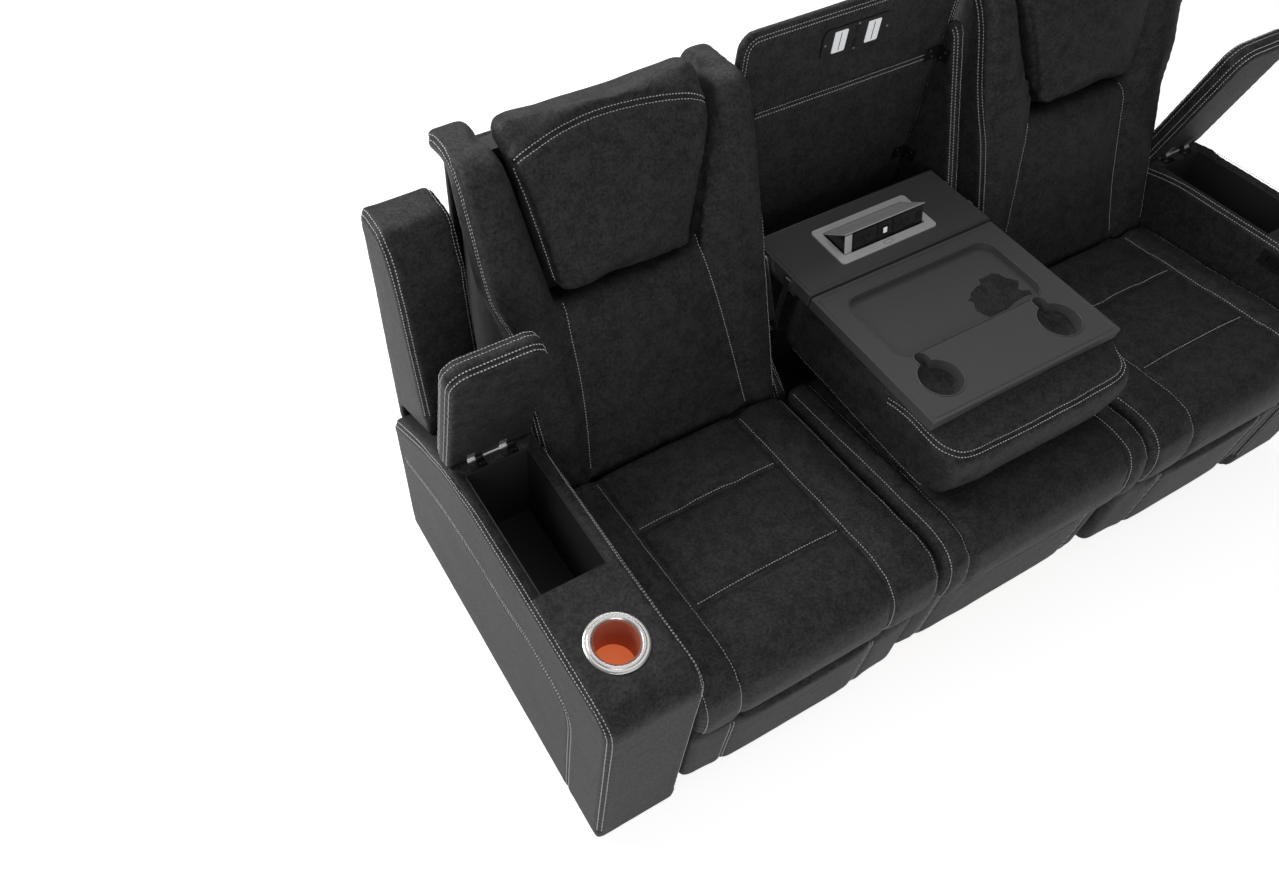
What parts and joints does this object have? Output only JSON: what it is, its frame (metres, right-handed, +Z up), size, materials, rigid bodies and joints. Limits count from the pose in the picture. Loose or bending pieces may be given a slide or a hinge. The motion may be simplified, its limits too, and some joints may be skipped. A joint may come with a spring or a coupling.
{
  "type": "sofa with drop down console",
  "caption": "Reclining sofa with leather seats, storage arms with lidded boxes and cup holders, and a centre back that folds down into a console with a tray and pop-up power unit.",
  "frame": {"origin": "on the floor, in the middle of the sofa's overall width and depth at rest", "axes": "+X towards the sofa's left as the sitter sees it, which is the viewer's right; -Y towards the sofa's front; +Z up"},
  "size_m": [2.22, 0.992, 1.16],
  "materials": {
    "leather": "fine matt suede-like leather",
    "leather_inner": "fine matt leather on the inner parts",
    "wood": "sawn plywood and softwood",
    "black_steel": "black powder coat",
    "zinc_steel": "zinc plated",
    "chrome": "polished",
    "black_plastic": "fine satin grain",
    "liner_plastic": "matt",
    "cup_plastic": "smooth, translucent red-brown",
    "lens_plastic": "smooth orange lens",
    "lamp_lens": "clear prismatic lens",
    "silver_paint": "fine satin",
    "rubber": "matt",
    "drive_body": "matt"
  },
  "bodies": {
    "base": {"base_frame": "wood", "feet": "rubber", "left_arm_cover": "leather", "right_arm_cover": "leather", "arm_frames": "wood", "left_storage_liner": "liner_plastic", "right_storage_liner": "liner_plastic", "cup_rings": "chrome", "cup_liners": "cup_plastic", "cup_lenses": "lens_plastic", "switch_plates": "black_plastic", "lid_fixed_leaves": "black_steel", "left_seat_cushion": "leather", "right_seat_cushion": "leather", "seat_frames": "wood", "mechanism_plates": "black_steel", "actuators": "drive_body", "centre_seat_cushion": "leather", "centre_seat_box": "wood", "centre_front_pad": "leather", "centre_back_shell": "leather_inner", "recess_brackets": "black_steel", "light_panel": "black_plastic", "reading_lamps": "lamp_lens", "small_screws": "zinc_steel", "power_inlet": "black_plastic", "left_wing": "leather", "right_wing": "leather"},
    "left_lid": {"left_lid": "leather", "left_lid_hinge": "chrome"},
    "left_recline_switch": {"left_recline_switch": "black_plastic"},
    "left_headrest_switch": {"left_headrest_switch": "black_plastic"},
    "right_lid": {"right_lid": "leather", "right_lid_hinge": "chrome"},
    "right_recline_switch": {"right_recline_switch": "black_plastic"},
    "right_headrest_switch": {"right_headrest_switch": "black_plastic"},
    "left_back": {"left_back_cushion": "leather", "left_back_frame": "wood", "left_back_cover": "leather"},
    "left_headrest": {"left_headrest": "leather"},
    "left_rear_links": {"left_rear_links": "zinc_steel"},
    "left_front_links": {"left_front_links": "zinc_steel"},
    "left_footrest": {"left_footrest_pad": "leather", "left_footrest_board": "wood"},
    "right_back": {"right_back_cushion": "leather", "right_back_frame": "wood", "right_back_cover": "leather"},
    "right_headrest": {"right_headrest": "leather"},
    "right_rear_links": {"right_rear_links": "zinc_steel"},
    "right_front_links": {"right_front_links": "zinc_steel"},
    "right_footrest": {"right_footrest_pad": "leather", "right_footrest_board": "wood"},
    "console": {"console_cushion": "leather", "console_tray": "black_plastic", "console_rear_panel": "black_plastic", "console_arms": "zinc_steel", "power_bezel": "silver_paint"},
    "power_box": {"power_box": "black_plastic"},
    "light_switch_upper": {"light_switch_upper": "black_plastic"},
    "light_switch_lower": {"light_switch_lower": "black_plastic"}
  },
  "joints": [
    {"name": "left_lid_hinge", "type": "hinge", "parent": "base", "child": "left_lid", "pos_m": [0, 0.138, 0.614], "axis": [1, 0, 0], "range_deg": [-12, 76]},
    {"name": "left_recline_switch_rock", "type": "hinge", "parent": "base", "child": "left_recline_switch", "pos_m": [-0.9135, -0.3032, 0.577], "axis": [0, 0, 1], "range_deg": [-6, 6], "stiffness_Nm_per_rad": 0.05},
    {"name": "left_headrest_switch_rock", "type": "hinge", "parent": "base", "child": "left_headrest_switch", "pos_m": [-0.9135, -0.2548, 0.577], "axis": [0, 0, 1], "range_deg": [-6, 6], "stiffness_Nm_per_rad": 0.05},
    {"name": "right_lid_hinge", "type": "hinge", "parent": "base", "child": "right_lid", "pos_m": [0, 0.138, 0.614], "axis": [1, 0, 0], "range_deg": [-12, 76]},
    {"name": "right_recline_switch_rock", "type": "hinge", "parent": "base", "child": "right_recline_switch", "pos_m": [0.9135, -0.3032, 0.577], "axis": [0, 0, 1], "range_deg": [-6, 6], "stiffness_Nm_per_rad": 0.05},
    {"name": "right_headrest_switch_rock", "type": "hinge", "parent": "base", "child": "right_headrest_switch", "pos_m": [0.9135, -0.2548, 0.577], "axis": [0, 0, 1], "range_deg": [-6, 6], "stiffness_Nm_per_rad": 0.05},
    {"name": "left_recline", "type": "hinge", "parent": "base", "child": "left_back", "pos_m": [0, 0.101, 0.4], "axis": [-1, 0, 0], "range_deg": [0, 35]},
    {"name": "left_headrest_tilt", "type": "hinge", "parent": "left_back", "child": "left_headrest", "pos_m": [0, 0.26824, 0.85191], "axis": [1, 0, 0], "range_deg": [0, 25]},
    {"name": "left_rear_link_swing", "type": "hinge", "parent": "base", "child": "left_rear_links", "pos_m": [0, -0.301, 0.2065], "axis": [-1, 0, 0], "range_deg": [0, 129.7]},
    {"name": "left_front_link_swing", "type": "hinge", "parent": "left_rear_links", "child": "left_front_links", "pos_m": [0, -0.214, 0.1355], "axis": [1, 0, 0], "range_deg": [0, 123.4]},
    {"name": "left_footrest_swing", "type": "hinge", "parent": "left_front_links", "child": "left_footrest", "pos_m": [0, -0.394, 0.281], "axis": [-1, 0, 0], "range_deg": [0, 78.8]},
    {"name": "right_recline", "type": "hinge", "parent": "base", "child": "right_back", "pos_m": [0, 0.101, 0.4], "axis": [-1, 0, 0], "range_deg": [0, 35]},
    {"name": "right_headrest_tilt", "type": "hinge", "parent": "right_back", "child": "right_headrest", "pos_m": [0, 0.26824, 0.85191], "axis": [1, 0, 0], "range_deg": [0, 25]},
    {"name": "right_rear_link_swing", "type": "hinge", "parent": "base", "child": "right_rear_links", "pos_m": [0, -0.301, 0.2065], "axis": [-1, 0, 0], "range_deg": [0, 129.7]},
    {"name": "right_front_link_swing", "type": "hinge", "parent": "right_rear_links", "child": "right_front_links", "pos_m": [0, -0.214, 0.1355], "axis": [1, 0, 0], "range_deg": [0, 123.4]},
    {"name": "right_footrest_swing", "type": "hinge", "parent": "right_front_links", "child": "right_footrest", "pos_m": [0, -0.394, 0.281], "axis": [-1, 0, 0], "range_deg": [0, 78.8]},
    {"name": "console_fold", "type": "hinge", "parent": "base", "child": "console", "pos_m": [0, 0.171, 0.571], "axis": [-1, 0, 0], "range_deg": [0, 98]},
    {"name": "power_box_tilt", "type": "hinge", "parent": "console", "child": "power_box", "pos_m": [0, 0.23239, 0.72382], "axis": [1, 0, 0], "range_deg": [0, 36]},
    {"name": "light_switch_upper_rock", "type": "hinge", "parent": "base", "child": "light_switch_upper", "pos_m": [0, 0.396, 1.09964], "axis": [1, 0, 0], "range_deg": [-4, 4], "stiffness_Nm_per_rad": 0.01},
    {"name": "light_switch_lower_rock", "type": "hinge", "parent": "base", "child": "light_switch_lower", "pos_m": [0, 0.396, 1.07236], "axis": [1, 0, 0], "range_deg": [-4, 4], "stiffness_Nm_per_rad": 0.01}
  ],
  "couplings": [
    {"joint": "left_rear_link_swing", "follows": "left_recline", "ratio": 3.7029},
    {"joint": "left_front_link_swing", "follows": "left_recline", "ratio": 3.5229},
    {"joint": "left_footrest_swing", "follows": "left_recline", "ratio": 2.2486},
    {"joint": "right_rear_link_swing", "follows": "right_recline", "ratio": 3.7029},
    {"joint": "right_front_link_swing", "follows": "right_recline", "ratio": 3.5229},
    {"joint": "right_footrest_swing", "follows": "right_recline", "ratio": 2.2486}
  ]
}
